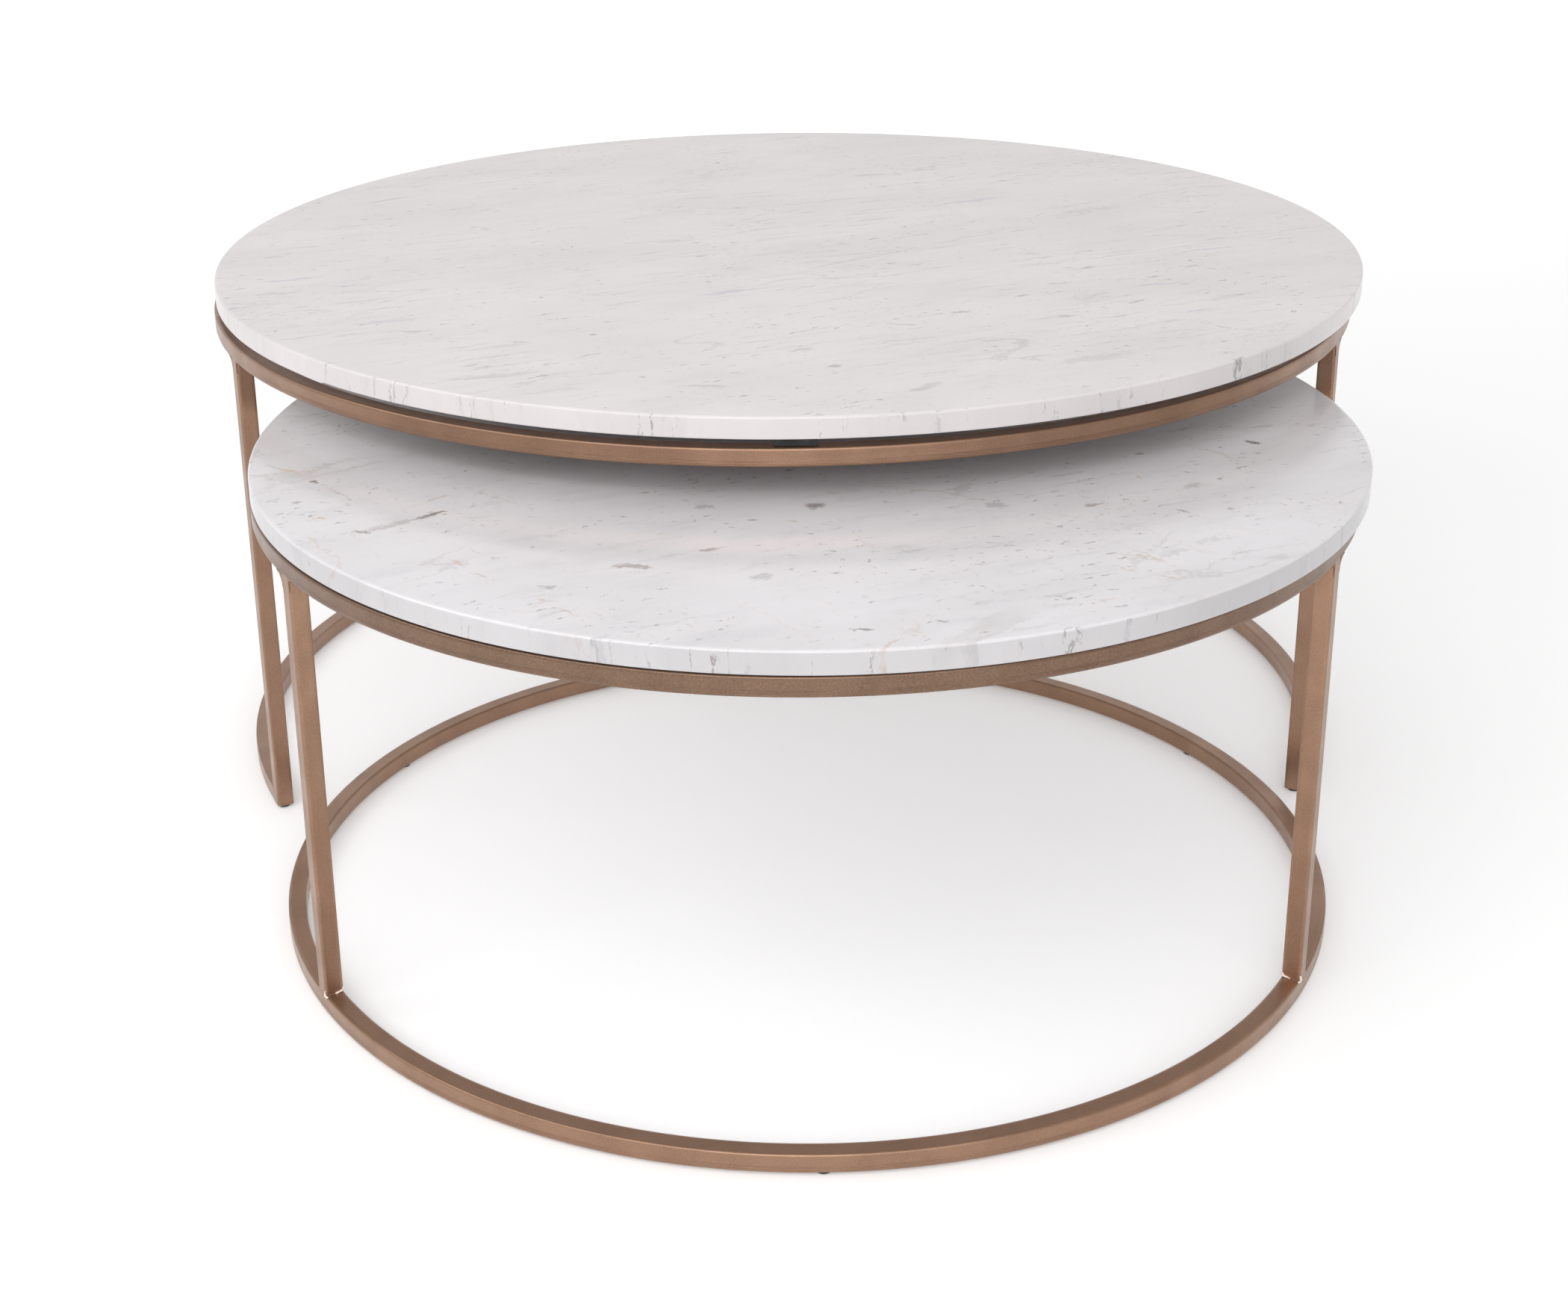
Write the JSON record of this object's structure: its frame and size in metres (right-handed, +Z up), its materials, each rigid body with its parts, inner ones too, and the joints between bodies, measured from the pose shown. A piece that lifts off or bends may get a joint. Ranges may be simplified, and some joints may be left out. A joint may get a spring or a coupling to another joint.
{
  "type": "nesting tables",
  "caption": "Round marble coffee tables on square-tube metal frames, the smaller one sliding out from under the open front of the larger one.",
  "frame": {"origin": "on the floor, at the centre of the set's footprint with the small table pulled part of the way out", "axes": "+Z up; -Y towards the open front of the large table, where the small table slides out; +X to the right seen from the front"},
  "size_m": [0.8986, 1.129, 0.4],
  "materials": {
    "marble_large": "polished warm white marble with soft grey veins",
    "marble_small": "polished cool white marble with grey and rust veins",
    "frame_bronze": "satin rose-bronze metallic paint",
    "pad_rubber": "matt black",
    "glide_nylon": "matt black"
  },
  "bodies": {
    "large_table": {"large_marble_top": "marble_large", "large_top_ring": "frame_bronze", "large_base_arc": "frame_bronze", "large_leg_left": "frame_bronze", "large_leg_right": "frame_bronze", "large_leg_back": "frame_bronze", "large_foot_plate_left": "frame_bronze", "large_foot_plate_right": "frame_bronze", "large_foot_glide_left": "glide_nylon", "large_foot_glide_right": "glide_nylon", "large_arc_glide_1": "glide_nylon", "large_arc_glide_2": "glide_nylon", "large_arc_glide_3": "glide_nylon", "large_top_pad_1": "pad_rubber", "large_top_pad_2": "pad_rubber", "large_top_pad_3": "pad_rubber", "large_top_pad_4": "pad_rubber"},
    "small_table": {"small_marble_top": "marble_small", "small_top_ring": "frame_bronze", "small_base_ring": "frame_bronze", "small_leg_left": "frame_bronze", "small_leg_right": "frame_bronze", "small_leg_back": "frame_bronze", "small_glide_1": "glide_nylon", "small_glide_2": "glide_nylon", "small_glide_3": "glide_nylon", "small_glide_4": "glide_nylon", "small_glide_5": "glide_nylon", "small_glide_6": "glide_nylon", "small_top_pad_1": "pad_rubber", "small_top_pad_2": "pad_rubber", "small_top_pad_3": "pad_rubber", "small_top_pad_4": "pad_rubber"}
  },
  "joints": [
    {"name": "small_table_slide", "type": "slide", "parent": "large_table", "child": "small_table", "axis": [0.0263, -0.9997, 0], "range_m": [-0.35, 0.6]}
  ]
}
